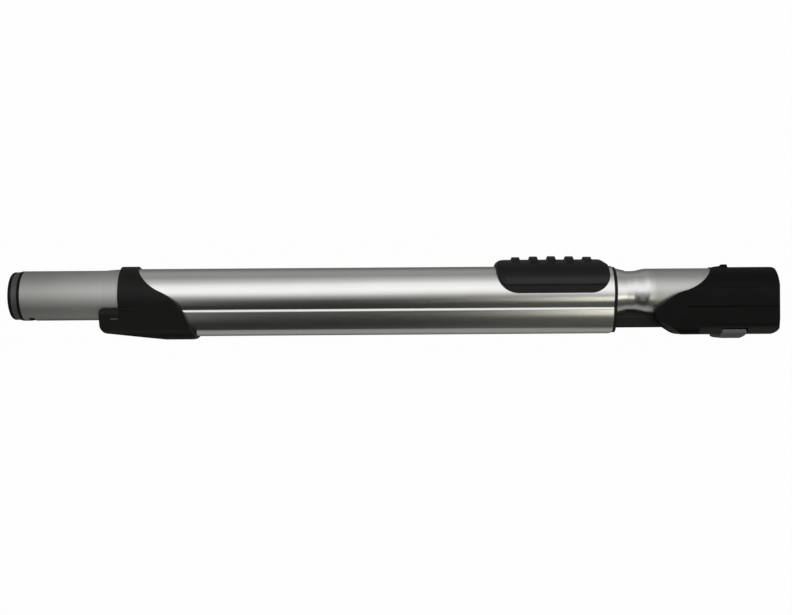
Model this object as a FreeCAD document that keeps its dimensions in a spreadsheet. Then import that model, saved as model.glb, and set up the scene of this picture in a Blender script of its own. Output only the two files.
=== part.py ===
"""Telescopic vacuum wand with a built-in two-core feed for a powered floor head.

X runs along the wand from the nozzle end to the handle end, Y points to the
grip side and Z to one flank. The origin is the centre of the nozzle end's rim.
"""
import FreeCAD, Part
import math
import os
import re
import Sketcher

# Driving sizes, in millimetres and degrees
SIZES = {
    # general
    "tube_wall": 0.8,
    "slide_gap": 0.3,
    "fit_gap": 0.1,
    # nozzle spigot
    "spigot_radius": 19.05,
    "tip_radius": 18.2,
    "tip_bore": 16.8,
    "bumper_length": 2.6,
    "ferrule_length": 4.4,
    "seal_width": 2.2,
    "ferrule_reach": 9.0,
    "latch_slot_start": 13.4,
    "latch_slot_length": 4.2,
    "latch_slot_width": 18.0,
    "neck_gap": 3.9,
    "neck_taper": 0.1,
    "flare_back": 16.5,
    "flare_length": 7.5,
    "flare_rise": 0.75,
    # keyhole casing
    "case_start": 88.0,
    "case_length": 370.3,
    "case_radius": 20.1,
    "case_wall": 1.2,
    "case_end_round": 2.6,
    "crease_drop": 11.7,
    "shoulder_drop": 1.9,
    "shoulder_radius": 2.4,
    "lobe_half": 16.7,
    "lobe_curve": 36.0,
    "lobe_knee": 27.0,
    "lobe_knee_half": 10.5,
    "lobe_foot": 11.9,
    "lobe_flat": 0.95,
    "case_depth": 31.8,
    "insert_length": 12.0,
    "lobe_setback": 20.0,
    # collar and plug housing at the nozzle end
    "collar_lap": 4.1,
    "collar_wall": 1.9,
    "collar_waist": 6.5,
    "collar_foot": 14.8,
    "collar_corner": 7.0,
    "collar_top_length": 11.5,
    "collar_wave_reach": 32.1,
    "collar_wave_height": 2.1,
    "collar_wave_back": 8.4,
    "collar_wave_first": 40.0,
    "collar_wave_second": 38.0,
    "collar_length": 57.0,
    "collar_drop": 2.3,
    "seam_drop": 9.6,
    "seam_straight": 20.5,
    "seam_reach": 45.5,
    "seam_fall": 24.0,
    "seam_curve": 30.0,
    "nose_length": 15.0,
    "nose_rise": 2.6,
    "nose_half": 18.6,
    "nose_corner": 6.5,
    "nose_brow": 4.0,
    "shroud_wall": 2.0,
    "shroud_half": 12.5,
    "pin_radius": 1.3,
    "pin_spacing": 12.0,
    "pin_length": 17.5,
    "lead_radius": 0.9,
    "lead_spacing": 4.0,
    "lead_straight": 4.0,
    "lead_bend": 14.0,
    "lead_trim": 5.0,
    "screw_radius": 1.25,
    "screw_reach": 38.5,
    "screw_spacing": 12.6,
    "head_height": 1.2,
    # mouth of the casing
    "ring_thickness": 2.5,
    "ring_inset": 0.8,
    "plug_length": 22.0,
    "guide_length": 78.3,
    "cone_length": 7.7,
    "cone_radius": 18.4,
    "cone_tip": 0.3,
    "mouth_seal_width": 3.0,
    # sliding tube, rail and bars
    "tube_radius": 16.0,
    "tail_gap": 3.5,
    "tail_bush_length": 11.0,
    "tail_seal_width": 2.5,
    "bell_gap": 15.7,
    "bell_length": 12.0,
    "bell_rise": 1.8,
    "bell_reach": 62.0,
    "rail_setback": 60.0,
    "rail_reach": 36.0,
    "rail_half": 4.5,
    "rail_room": 4.4,
    "rail_corner": 1.2,
    "bar_width": 2.2,
    "bar_thickness": 0.8,
    "bar_spacing": 5.6,
    "bar_step": 4.6,
    "bar_inset": 0.2,
    "wiper_reach": 12.0,
    # handle socket
    "socket_length": 92.6,
    "socket_top": 18.5,
    "socket_half": 21.9,
    "socket_floor": 5.4,
    "flank_curve": 100.0,
    "flank_lean": 2.8,
    "lip_half": 18.3,
    "lip_curve": 277.0,
    "heel_length": 8.6,
    "heel_round": 4.6,
    "heel_curve": 8.5,
    "socket_bore": 16.6,
    "socket_seam": 11.9,
    "socket_round": 2.0,
    "socket_corner": 6.0,
    "wave_gap": 3.9,
    "wave_step": 23.1,
    "wave_rise": 45.1,
    "wave_first": 37.0,
    "wave_second": 34.0,
    "contact_radius": 2.2,
    "contact_length": 15.0,
    "nib_back": 39.5,
    "nib_length": 5.1,
    "nib_rise": 2.1,
    "nib_ramp": 7.0,
    # release button
    "button_back": 46.3,
    "button_length": 21.8,
    "button_half": 5.2,
    "saddle_half": 17.8,
    "saddle_sweep": 48.0,
    "saddle_side": 3.0,
    "saddle_top": 3.8,
    "saddle_foot": 11.0,
    "saddle_round": 7.2,
    "button_rise": 3.0,
    "button_gap": 0.9,
    "pivot_reach": 14.5,
    "pivot_inset": 8.3,
    "pivot_radius": 1.2,
    # grip and lock
    "grip_back": 10.4,
    "grip_length": 85.8,
    "skirt_wall": 1.2,
    "skirt_drop": 0.7,
    "cover_radius": 21.7,
    "cover_top": 25.3,
    "ledge_height": 5.6,
    "rib_count": 5.0,
    "rib_lead": 15.7,
    "rib_pitch": 13.7,
    "rib_width": 7.8,
    "rib_slope": 1.25,
    "rib_arch": 0.15,
    "rib_rise": 2.6,
    "rib_radius": 15.0,
    "cavity_half": 11.0,
    "roof_thickness": 1.8,
    "carriage_lead": 20.0,
    "carriage_length": 37.0,
    "shoe_lead": 10.0,
    "shoe_length": 14.0,
    "shoe_half": 5.0,
    "cheek_thickness": 2.2,
    "ear_radius": 0.8,
    "ear_height": 19.8,
    "grip_travel": 8.0,
    "shoe_lift": 1.0,
    "spring_radius": 1.4,
    "spring_wire": 0.35,
}

# Places and depths that follow from the sizes
PLACES = {
    "flare_start": "case_start - flare_back",
    "collar_start": "case_start - collar_lap",
    "collar_depth": "case_depth + collar_drop",
    "nose_depth": "case_depth - nose_rise",
    "pin_drop": "(spigot_radius + case_depth - nose_rise) / 2",
    "guide_start": "case_start + case_length - guide_length",
    "bell_start": "case_start + case_length + bell_gap",
    "tube_end": "bell_start + bell_length + bell_reach",
    "rail_start": "case_start + rail_setback",
    "rail_end": "bell_start + bell_length + rail_reach",
    "rail_depth": "case_depth - rail_room",
    "wave_low": "bell_start + bell_length + wave_gap",
    "wave_middle": "wave_low + wave_step",
    "wave_top": "wave_low + wave_rise",
    "socket_end": "wave_low + socket_length",
    "socket_depth": "rail_depth + socket_floor",
    "nib_start": "socket_end - nib_back",
    "button_start": "socket_end - button_back",
    "button_pivot": "button_start + pivot_reach",
    "pivot_drop": "socket_depth - pivot_inset",
    "grip_start": "guide_start - grip_back",
    "rib_first": "grip_start + rib_lead",
    "carriage_start": "guide_start + carriage_lead",
    "shoe_start": "carriage_start + shoe_lead",
}

doc = FreeCAD.newDocument("TelescopicWand")
sheet = doc.addObject("Spreadsheet::Sheet", "Sizes")
cells = [(name, str(size)) for name, size in SIZES.items()]
cells += [(name, "=" + formula) for name, formula in PLACES.items()]
for row, (name, content) in enumerate(cells, start=1):
    sheet.set("A%d" % row, name)
    sheet.set("B%d" % row, content)
    sheet.setAlias("B%d" % row, name)
doc.recompute()

# Further formulas over the sheet's cells
TUBE_START = "(bumper_length + ferrule_length + seal_width)"
CASE_END = "(case_start + case_length)"
RING_END = "(case_start + case_length + ring_thickness)"
TAIL_START = "(case_start + insert_length + tail_gap)"
GUIDE_BORE = "(tube_radius + slide_gap)"
GUIDE_OUTER = "(case_radius - case_wall - fit_gap)"
SKIRT_INNER = "(case_radius + slide_gap)"
SKIRT_OUTER = "(case_radius + slide_gap + skirt_wall)"
COVER_CENTRE = "(cover_top - cover_radius)"
ROOF = "(cover_top - roof_thickness)"
GRIP_END = "(grip_start + grip_length)"
COLLAR_END = "(collar_start + collar_length)"
NOSE_START = "(collar_start - nose_length)"
SOCKET_CENTRE = "(socket_top - socket_half)"
RAIL_SLOT_HALF = "(rail_half + slide_gap)"
RAIL_SLOT_DEPTH = "(rail_depth + slide_gap)"
BAR_DROP = "(rail_depth - bar_inset)"


def bound(text):
    """Write a formula with its size names as references to the sheet."""

    def reference(match):
        name = match.group(0)
        return "Sizes." + name if name in SIZES or name in PLACES else name

    return re.sub(r"[a-z][a-z_]*", reference, str(text))


def value(text):
    """Work a formula out to a plain number."""
    return float(sheet.evalExpression(bound(text)))


def bind(thing, **formulas):
    """Bind an object's properties to formulas over the sheet."""
    for name, formula in formulas.items():
        thing.setExpression(name.replace("__", "."), bound(formula))


def origin_part(body, role):
    """Find one of a body's own origin planes or axes."""
    return next(item for item in body.Origin.OriginFeatures if item.Role == role)


def new_body(name):
    body = doc.addObject("PartDesign::Body", name)
    body.Label = name
    return body


def fix_point(sketch, edge, end, across, up):
    """Hold one end of a sketch edge at the two given formulas."""
    for kind, formula in (("DistanceX", across), ("DistanceY", up)):
        index = sketch.addConstraint(Sketcher.Constraint(kind, edge, end, value(formula)))
        sketch.setExpression("Constraints[%d]" % index, bound(formula))


def arc_between(start, finish, radius, turn):
    """Arc from start to finish, anticlockwise for turn 1 and clockwise for turn -1."""
    chord = finish - start
    side = FreeCAD.Vector(-chord.y, chord.x, 0).normalize()
    height = math.sqrt(max(radius ** 2 - (chord.Length / 2) ** 2, 0))
    centre = (start + finish) * 0.5 + side * (turn * height)
    first = start if turn > 0 else finish
    last = finish if turn > 0 else start
    angles = [math.atan2(point.y - centre.y, point.x - centre.x) for point in (first, last)]
    circle = Part.Circle(centre, FreeCAD.Vector(0, 0, 1), radius)
    return Part.ArcOfCircle(circle, angles[0], angles[1])


def draw_loop(sketch, corners):
    """Draw one closed loop; a corner with a radius and a turn starts an arc."""
    places = [FreeCAD.Vector(value(corner[0]), value(corner[1]), 0) for corner in corners]
    starts = []
    finishes = []
    first_edge = sketch.GeometryCount
    for number, corner in enumerate(corners):
        start = places[number]
        finish = places[(number + 1) % len(corners)]
        edge = first_edge + number
        if len(corner) == 2:
            sketch.addGeometry(Part.LineSegment(start, finish), False)
            starts.append((edge, 1))
            finishes.append((edge, 2))
            continue
        turn = corner[3]
        sketch.addGeometry(arc_between(start, finish, value(corner[2]), turn), False)
        starts.append((edge, 1 if turn > 0 else 2))
        finishes.append((edge, 2 if turn > 0 else 1))
    for number in range(len(corners)):
        following = starts[(number + 1) % len(corners)]
        sketch.addConstraint(Sketcher.Constraint("Coincident", *finishes[number], *following))
    for number, corner in enumerate(corners):
        fix_point(sketch, *starts[number], corner[0], corner[1])
        if len(corner) > 2:
            edge = starts[number][0]
            index = sketch.addConstraint(Sketcher.Constraint("Radius", edge, value(corner[2])))
            sketch.setExpression("Constraints[%d]" % index, bound(corner[2]))


def draw_circle(sketch, across, up, radius):
    """Draw a full circle held by its centre and radius."""
    centre = FreeCAD.Vector(value(across), value(up), 0)
    circle = Part.Circle(centre, FreeCAD.Vector(0, 0, 1), value(radius))
    edge = sketch.addGeometry(circle, False)
    fix_point(sketch, edge, 3, across, up)
    index = sketch.addConstraint(Sketcher.Constraint("Radius", edge, value(radius)))
    sketch.setExpression("Constraints[%d]" % index, bound(radius))


def draw(body, plane, loops, offset="0"):
    """Sketch loops on a body's plane; a loop is a list of corners or a circle's three formulas."""
    sketch = body.newObject("Sketcher::SketchObject", body.Name + "_sketch")
    sketch.AttachmentSupport = [(origin_part(body, plane), "")]
    sketch.MapMode = "FlatFace"
    bind(sketch, AttachmentOffset__Base__z=offset)
    for loop in loops:
        if isinstance(loop, tuple):
            draw_circle(sketch, *loop)
        else:
            draw_loop(sketch, loop)
    return sketch


def extrude(body, kind, sketch, length, both_ways=False, against=False):
    """Pad or pocket a sketch."""
    feature = body.newObject("PartDesign::" + kind, body.Name + "_" + kind.lower())
    feature.Profile = sketch
    bind(feature, Length=length)
    feature.SideType = "Symmetric" if both_ways else "One side"
    feature.Reversed = against
    return feature


def pad_along(body, loops, start, length):
    """Add a prism that runs along the wand."""
    return extrude(body, "Pad", draw(body, "YZ_Plane", loops, start), length)


def cut_along(body, loops, start, length):
    """Cut a prism that runs along the wand."""
    sketch = draw(body, "YZ_Plane", loops, start)
    return extrude(body, "Pocket", sketch, length, against=True)


def pad_across(body, loops, width, middle="0"):
    """Add a prism drawn in side view, half its width to each flank."""
    return extrude(body, "Pad", draw(body, "XY_Plane", loops, middle), width, both_ways=True)


def cut_across(body, loops, width, middle="0"):
    """Cut a prism drawn in side view, half its width to each flank."""
    return extrude(body, "Pocket", draw(body, "XY_Plane", loops, middle), width, both_ways=True)


def turned(body, corners, kind="Revolution"):
    """Turn a side-view profile about the wand's axis."""
    sketch = draw(body, "XY_Plane", [corners])
    feature = body.newObject("PartDesign::" + kind, body.Name + "_" + kind.lower())
    feature.Profile = sketch
    feature.ReferenceAxis = (origin_part(body, "X_Axis"), [""])
    feature.Angle = 360
    return feature


def rectangle(low_across, low_up, high_across, high_up):
    return [(low_across, low_up), (high_across, low_up), (high_across, high_up), (low_across, high_up)]


def mirrored(half):
    """Close a half outline, which starts on the middle line, with its mirror image."""
    loop = list(half)
    for number in range(len(half) - 1, 0, -1):
        across, up = half[number][:2]
        loop.append((across, "-(%s)" % up) + tuple(half[number - 1][2:]))
    return loop


def keyhole(inset):
    """Outline of the casing's section, moved inwards by an inset."""
    radius = "(case_radius - %s)" % inset
    crease = "(crease_drop - 0.5 * %s)" % inset
    shoulder = "(crease_drop + shoulder_drop - 0.22 * %s)" % inset
    half = [
        (radius, "0", radius, 1),
        ("-" + crease, "sqrt(%s ^ 2 - %s ^ 2)" % (radius, crease), "shoulder_radius", 1),
        ("-" + shoulder, "(lobe_half - 0.97 * %s)" % inset, "(lobe_curve - %s)" % inset, 1),
        ("-(lobe_knee - 0.6 * %s)" % inset, "(lobe_knee_half - 0.8 * %s)" % inset, "(lobe_foot - %s)" % inset, 1),
        ("-(case_depth - %s)" % inset, "lobe_flat"),
    ]
    return mirrored(half)


def combined(kind, name, base, tool):
    """Join two objects with a boolean."""
    result = doc.addObject("Part::" + kind, name)
    result.Base = base
    result.Tool = tool
    result.Label = name
    return result


pieces = []


def piece(thing):
    """List a finished sub-part for writing."""
    pieces.append(thing)
    return thing


def ring(name, start, length, inner, outer):
    """A plain ring about the wand's axis."""
    body = new_body(name)
    pad_along(body, [("0", "0", outer), ("0", "0", inner)], start, length)
    return piece(body)


def rod(name, start, length, radius, height, aside):
    """A straight round rod along the wand."""
    body = new_body(name)
    pad_along(body, [(height, aside, radius)], start, length)
    return body


def block(name, low_along, low_up, high_along, high_up, width, middle="0"):
    """A straight block, drawn in side view."""
    body = new_body(name)
    pad_across(body, [rectangle(low_along, low_up, high_along, high_up)], width, middle)
    return body


def coil(name, foot, along, length, turns):
    """A compression spring of round wire."""
    radius = value("spring_radius")
    wire = value("spring_wire")
    path = Part.makeHelix(length / turns, length, radius)
    section = Part.Wire(Part.makeCircle(wire, FreeCAD.Vector(radius, 0, 0), FreeCAD.Vector(0, 1, 0)))
    spring = doc.addObject("Part::Feature", name)
    spring.Shape = Part.Wire(path).makePipeShell([section], True, True)
    spring.Placement = FreeCAD.Placement(foot, FreeCAD.Rotation(FreeCAD.Vector(0, 0, 1), along))
    spring.Label = name
    return piece(spring)


def flanks():
    """The two flanks, as a name ending and a sign for formulas."""
    return (("near", "1"), ("far", "-1"))


# Nozzle spigot: a drawn tube with a ferrule, a bumper and a seal at its rim
SPIGOT_INNER = "(spigot_radius - tube_wall)"
FLARE_OUTER = "(spigot_radius + flare_rise)"
FLARE_END = "(flare_start + flare_length)"
TUBE_BUTT = "(case_start - fit_gap)"
NECK_STOP = "(collar_start - nose_length - neck_gap)"

spigot_tube = piece(new_body("spigot_tube"))
turned(spigot_tube, [
    (TUBE_START, SPIGOT_INNER),
    (NECK_STOP, SPIGOT_INNER),
    ("flare_start", SPIGOT_INNER + " + neck_taper"),
    (FLARE_END, FLARE_OUTER + " - tube_wall"),
    (TUBE_BUTT, FLARE_OUTER + " - tube_wall"),
    (TUBE_BUTT, FLARE_OUTER),
    (FLARE_END, FLARE_OUTER),
    ("flare_start", "spigot_radius + neck_taper"),
    (NECK_STOP, "spigot_radius"),
    (TUBE_START, "spigot_radius"),
])
LATCH_END = "(latch_slot_start + latch_slot_length)"
slot = rectangle("latch_slot_start", "-(spigot_radius + 2)", LATCH_END, "-(spigot_radius - 8)")
cut_across(spigot_tube, [slot], "latch_slot_width")

FERRULE_END = "(bumper_length + ferrule_length)"
ferrule = piece(new_body("spigot_ferrule"))
turned(ferrule, [
    ("bumper_length", "tip_bore"),
    (TUBE_START + " + ferrule_reach", "tip_bore"),
    (TUBE_START + " + ferrule_reach", SPIGOT_INNER + " - fit_gap"),
    (FERRULE_END, SPIGOT_INNER + " - fit_gap"),
    (FERRULE_END, "tip_radius + 0.5"),
    ("bumper_length", "tip_radius"),
])
cut_across(ferrule, [slot], "latch_slot_width + 2")

bumper = piece(new_body("spigot_bumper"))
turned(bumper, [
    ("0", "tip_bore + 0.2"),
    ("bumper_length", "tip_bore"),
    ("bumper_length", "tip_radius", "0.9 * bumper_length", 1),
    ("0", "tip_radius - 0.6"),
])
ring("spigot_seal", FERRULE_END, "seal_width", SPIGOT_INNER + " - fit_gap", "spigot_radius - fit_gap / 2")

# Casing: one keyhole extrusion with a window for the lock in its back
casing = new_body("casing_blank")
pad_along(casing, [keyhole("0"), keyhole("case_wall")], "case_start", "case_length")
WINDOW_END = "(carriage_start + carriage_length + 3)"
window = rectangle("guide_start - 1", "case_radius - 9", WINDOW_END, "case_radius + 3")
cut_across(casing, [window], "2 * cavity_half")
LOBE_START = "(case_start + lobe_setback)"
cut_across(casing, [rectangle(
    "case_start - 1", "-(case_depth + 1)", LOBE_START, "-(crease_drop - case_wall)",
)], "4 * case_radius")
cut_across(casing, [[
    (CASE_END + " - case_end_round", "-(case_depth)"),
    (CASE_END + " - case_end_round", "-(case_depth + 1)"),
    (CASE_END + " + 1", "-(case_depth + 1)"),
    (CASE_END + " + 1", "-(case_depth - case_end_round)"),
    (CASE_END, "-(case_depth - case_end_round)", "case_end_round", -1),
]], "4 * case_radius")

# Insert that joins the spigot's flare to the casing
INSERT_OUTER = "(spigot_radius + flare_rise - tube_wall - fit_gap)"
insert = piece(new_body("end_insert"))
pad_along(insert, [("0", "0", INSERT_OUTER), ("0", "0", "tip_bore")], FLARE_END, "case_start - flare_start - flare_length")
pad_along(insert, [("0", "0", GUIDE_OUTER), ("0", "0", "tip_bore")], "case_start", "insert_length")

# Collar and plug housing: one pear-shaped form, parted along a seam
collar_section = new_body("collar_section")
COLLAR_RADIUS = "(case_radius + collar_wall)"
pad_along(collar_section, [mirrored([
    (COLLAR_RADIUS, "0", COLLAR_RADIUS, 1),
    ("-(collar_waist)", "sqrt(%s ^ 2 - collar_waist ^ 2)" % COLLAR_RADIUS),
    ("-(collar_depth - collar_corner)", "collar_foot", "collar_corner", 1),
    ("-(collar_depth)", "collar_foot - collar_corner + 0.4"),
])], "collar_start - nose_length - 1", "nose_length + collar_length + 2")
collar_side = new_body("collar_side")
pad_across(collar_side, [[
    ("collar_start", "-(seam_drop + fit_gap)"),
    (NOSE_START + " + nose_brow", "-(seam_drop + fit_gap)", "nose_brow", 1),
    (NOSE_START, "-(seam_drop + fit_gap + nose_brow)"),
    (NOSE_START, "-(nose_depth - nose_corner)", "nose_corner", 1),
    (NOSE_START + " + nose_corner", "-(nose_depth)"),
    ("collar_start + 0.62 * collar_length", "-(collar_depth)"),
    (COLLAR_END + " - 2", "-(collar_depth)"),
    (COLLAR_END, "-(collar_depth - 2)"),
    (COLLAR_END + " - collar_wave_back", "-(crease_drop + 1)", "collar_wave_second", 1),
    ("collar_start + collar_wave_reach", "collar_wave_height", "collar_wave_first", -1),
    ("collar_start + collar_top_length", "case_radius + collar_wall + 1"),
    ("collar_start", "case_radius + collar_wall + 1"),
]], "4 * case_radius")
collar_body = combined("Common", "collar_body", collar_section, collar_side)
nose_trim = new_body("nose_trim")
pad_along(nose_trim, [
    rectangle("-(2 * collar_depth)", "-(2 * collar_depth)", "2 * collar_depth", "2 * collar_depth"),
    rectangle("-(2 * collar_depth - 1)", "-(nose_half)", "2 * collar_depth - 1", "nose_half"),
], "collar_start - nose_length - 2", "nose_length + 2")
collar_form = combined("Cut", "collar_form", collar_body, nose_trim)
collar_core = new_body("collar_core")
pad_along(collar_core, [keyhole("(0 - fit_gap)")], LOBE_START + " - fit_gap", "case_length")
pad_along(
    collar_core, [("0", "0", "case_radius + fit_gap")],
    "collar_start - nose_length - 2", "case_start + lobe_setback - collar_start + nose_length + 4",
)
collar_shell = combined("Cut", "collar_shell", collar_form, collar_core)

seam_corners = [
    (NOSE_START + " - 2", "-(collar_depth + 4)"),
    ("collar_start + seam_reach + 1", "-(collar_depth + 4)"),
    ("collar_start + seam_reach", "-(seam_fall)", "seam_curve", 1),
    ("collar_start + seam_straight", "-(seam_drop)"),
    (NOSE_START + " - 2", "-(seam_drop)"),
]
seam_tool = new_body("seam_tool")
pad_across(seam_tool, [seam_corners], "4 * case_radius")
collar = piece(combined("Cut", "nozzle_collar", collar_shell, seam_tool))

housing_blank = combined("Common", "housing_blank", collar_shell, seam_tool)
housing_cuts = new_body("housing_cuts")
pad_across(housing_cuts, [rectangle(
    NOSE_START + " - 1", "-(nose_depth - shroud_wall)", LOBE_START + " + 1", "-(spigot_radius + shroud_wall)",
)], "2 * shroud_half")
housing_hollow = combined("Cut", "housing_hollow", housing_blank, housing_cuts)

plug_insert = piece(new_body("plug_insert"))
pin_places = [("-(pin_drop)", "%s * pin_spacing / 2" % sign, "pin_radius") for _, sign in flanks()]
face = rectangle(
    "-(nose_depth - shroud_wall - fit_gap)", "-(shroud_half - fit_gap)",
    "-(spigot_radius + shroud_wall + fit_gap)", "shroud_half - fit_gap",
)
pad_along(plug_insert, [face] + pin_places, "collar_start", "case_start - collar_start - fit_gap")
for flank, sign in flanks():
    aside = "%s * pin_spacing / 2" % sign
    piece(rod("plug_pin_" + flank, "case_start - pin_length", "pin_length + 2", "pin_radius", "-(pin_drop)", aside))

# Two screws from below hold the housing to the casing's floor
SCREW_ALONG = "(collar_start + screw_reach)"
HEAD_BED = "-(collar_depth - head_height - 0.1)"


def upright(name, radius, low, high, aside, along=SCREW_ALONG):
    """A round post that points to the grip side."""
    post = doc.addObject("Part::Cylinder", name)
    bind(post, Radius=radius, Height="(%s) - (%s)" % (high, low))
    post.Placement = FreeCAD.Placement(FreeCAD.Vector(), FreeCAD.Rotation(FreeCAD.Vector(1, 0, 0), -90))
    bind(post, Placement__Base__x=along, Placement__Base__y=low, Placement__Base__z=aside)
    return post


screw_ways = None
for flank, sign in flanks():
    aside = "%s * screw_spacing / 2" % sign
    head = upright("screw_head_" + flank, "2 * screw_radius", "-(collar_depth - 0.1)", HEAD_BED, aside)
    shank = upright("screw_shank_" + flank, "screw_radius", HEAD_BED, "-(case_depth - 4)", aside)
    piece(combined("Fuse", "housing_screw_" + flank, head, shank))
    head_way = upright("head_way_" + flank, "2 * screw_radius + fit_gap", "-(collar_depth + 2)", HEAD_BED, aside)
    shank_way = upright("shank_way_" + flank, "screw_radius + fit_gap / 2", HEAD_BED, "-(case_depth - 4.4)", aside)
    ways = combined("Fuse", "screw_way_" + flank, head_way, shank_way)
    screw_ways = ways if screw_ways is None else combined("Fuse", "screw_ways", screw_ways, ways)
piece(combined("Cut", "plug_housing", housing_hollow, screw_ways))
piece(combined("Cut", "outer_casing", casing, screw_ways))

# Leads from the pins along the casing's floor to the wipers
LEAD_DROP = "(case_depth - case_wall - 2 * fit_gap - lead_radius)"
WIPER_START = "(case_start + case_length - plug_length - fit_gap - wiper_reach)"
for flank, sign in flanks():
    aside = value("%s * lead_spacing / 2" % sign)
    pin_aside = value("%s * pin_spacing / 2" % sign)
    start = FreeCAD.Vector(value("case_start + 2"), -value("pin_drop"), pin_aside)
    bend_one = FreeCAD.Vector(value(LOBE_START + " + lead_straight"), start.y, start.z)
    bend_two = FreeCAD.Vector(bend_one.x + value("lead_bend"), -value(LEAD_DROP), aside)
    finish = FreeCAD.Vector(value(WIPER_START), -value(LEAD_DROP), aside)
    run = (bend_two - bend_one).normalize()
    ahead = FreeCAD.Vector(1, 0, 0)
    trim = value("lead_trim")
    route = []
    place = start
    for corner, before, after in ((bend_one, ahead, run), (bend_two, run, ahead)):
        enter = corner - before * trim
        leave = corner + after * trim
        centre_line = (after - before).normalize()
        half_turn = before.getAngle(after) / 2
        radius = trim / math.tan(half_turn)
        middle = corner + centre_line * (radius / math.cos(half_turn) - radius)
        route.append(Part.LineSegment(place, enter).toShape())
        route.append(Part.Arc(enter, middle, leave).toShape())
        place = leave
    route.append(Part.LineSegment(place, finish).toShape())
    lead = doc.addObject("Part::Feature", "feed_lead_" + flank)
    section = Part.Wire(Part.makeCircle(value("lead_radius"), start, ahead))
    lead.Shape = Part.Wire(route).makePipeShell([section], True, True)
    lead.Label = "feed_lead_" + flank
    piece(lead)

wiper_block = piece(new_body("wiper_block"))
FLOOR = "(case_depth - case_wall - fit_gap)"
pad_along(wiper_block, [[
    ("-" + FLOOR, "-(lobe_flat + 0.4)"),
    ("-" + FLOOR, "lobe_flat + 0.4"),
    ("-(%s - 2)" % FLOOR, "0.5 * lobe_foot"),
    ("-(%s - 2)" % FLOOR, "-0.5 * lobe_foot"),
]], WIPER_START, "wiper_reach")
for flank, sign in flanks():
    wiper = piece(new_body("wiper_" + flank))
    bed = "-(%s - 2)" % FLOOR
    crest = "-(%s + slide_gap)" % BAR_DROP
    pad_across(wiper, [[
        (WIPER_START + " + 1", bed),
        (WIPER_START + " + wiper_reach - 1", bed),
        (WIPER_START + " + wiper_reach - 1", bed + " + 0.3"),
        (WIPER_START + " + wiper_reach / 2 + 1", crest),
        (WIPER_START + " + wiper_reach / 2 - 1", crest),
        (WIPER_START + " + 1", bed + " + 0.3"),
    ]], "bar_width", "%s * bar_spacing / 2" % sign)

# Mouth of the casing: a moulded guide with a face ring, a wiper seal and a bright cone
rail_way = rectangle("-" + RAIL_SLOT_DEPTH, "-" + RAIL_SLOT_HALF, "-(tube_radius - 6)", RAIL_SLOT_HALF)
guide = piece(new_body("mouth_guide"))
PLUG_START = "(case_start + case_length - plug_length)"
pad_along(guide, [("0", "0", GUIDE_OUTER)], "guide_start", "case_start + case_length - plug_length - guide_start")
pad_along(guide, [keyhole("(case_wall + fit_gap)")], PLUG_START, "plug_length")
pad_along(guide, [keyhole("ring_inset")], CASE_END, "ring_thickness")
tab = rectangle("case_radius - 4", "-6.4", ROOF + " - 1.9", "6.4")
pad_along(guide, [tab], "guide_start", "2.4")
cut_along(guide, [("0", "0", GUIDE_BORE)], "guide_start - 1", "case_start + case_length + ring_thickness - guide_start + 2")
cut_along(guide, [rail_way], "guide_start - 1", "case_start + case_length + ring_thickness - guide_start + 2")
SHOE_END = "(shoe_start + shoe_length)"
shoe_way = rectangle("shoe_start - slide_gap", "tube_radius - 6", SHOE_END + " + slide_gap", "case_radius + 4")
cut_across(guide, [shoe_way], "2 * (shoe_half + slide_gap)")
SEAL_START = "(case_start + case_length - 9)"
SEAL_END = "(case_start + case_length - 9 + mouth_seal_width)"
turned(guide, rectangle(SEAL_START, "tube_radius - 3", SEAL_END, "tube_radius + 1.7"), "Groove")

mouth_seal = piece(new_body("mouth_seal"))
turned(mouth_seal, rectangle(
    SEAL_START + " + fit_gap", GUIDE_BORE + " - 0.2", SEAL_END + " - fit_gap", "tube_radius + 1.7 - fit_gap",
))
cut_along(mouth_seal, [rail_way], SEAL_START + " - 1", "mouth_seal_width + 2")

cone = piece(new_body("mouth_cone"))
turned(cone, [
    (RING_END, GUIDE_BORE),
    (RING_END + " + cone_length", GUIDE_BORE),
    (RING_END + " + cone_length", GUIDE_BORE + " + cone_tip"),
    (RING_END, "cone_radius"),
])
cut_along(cone, [rail_way], RING_END + " - 1", "cone_length + 2")

# Sliding tube with its belled end, and the bush and seal on its tail
BELL_END = "(bell_start + bell_length)"
BELL_MIDDLE = "(bell_start + bell_length / 2)"
BELL_CURVE = "((bell_length ^ 2 + bell_rise ^ 2) / (4 * bell_rise))"


def tube_side(grow):
    """Side of the sliding tube, from its tail to its belled end, grown by a gap."""
    return [
        (TAIL_START, "tube_radius + " + grow),
        ("bell_start", "tube_radius + " + grow, BELL_CURVE, 1),
        (BELL_MIDDLE, "tube_radius + bell_rise / 2 + " + grow, BELL_CURVE, -1),
        (BELL_END, "tube_radius + bell_rise + " + grow),
        ("tube_end", "tube_radius + bell_rise + " + grow),
    ]


inner_tube = piece(new_body("inner_tube"))
inside = [
    ("tube_end", "tube_radius + bell_rise - tube_wall"),
    (BELL_END, "tube_radius + bell_rise - tube_wall", BELL_CURVE, 1),
    (BELL_MIDDLE, "tube_radius + bell_rise / 2 - tube_wall", BELL_CURVE, -1),
    ("bell_start", "tube_radius - tube_wall"),
    (TAIL_START, "tube_radius - tube_wall"),
]
turned(inner_tube, tube_side("0") + inside)
TOOTH_START = "(button_start + 0.5)"
tooth_way = rectangle(TOOTH_START + " - 4.5", "-(tube_radius + 5)", TOOTH_START + " + 5.5", "-(tube_radius - 6)")
cut_across(inner_tube, [tooth_way], "2 * 3.8")

ring("tail_bush", TAIL_START, "tail_bush_length", "tube_radius", "case_radius - case_wall - slide_gap")
ring(
    "tail_seal", TAIL_START + " - tail_seal_width", "tail_seal_width",
    "tube_radius - tube_wall", "case_radius - case_wall - slide_gap + 0.1",
)

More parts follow.
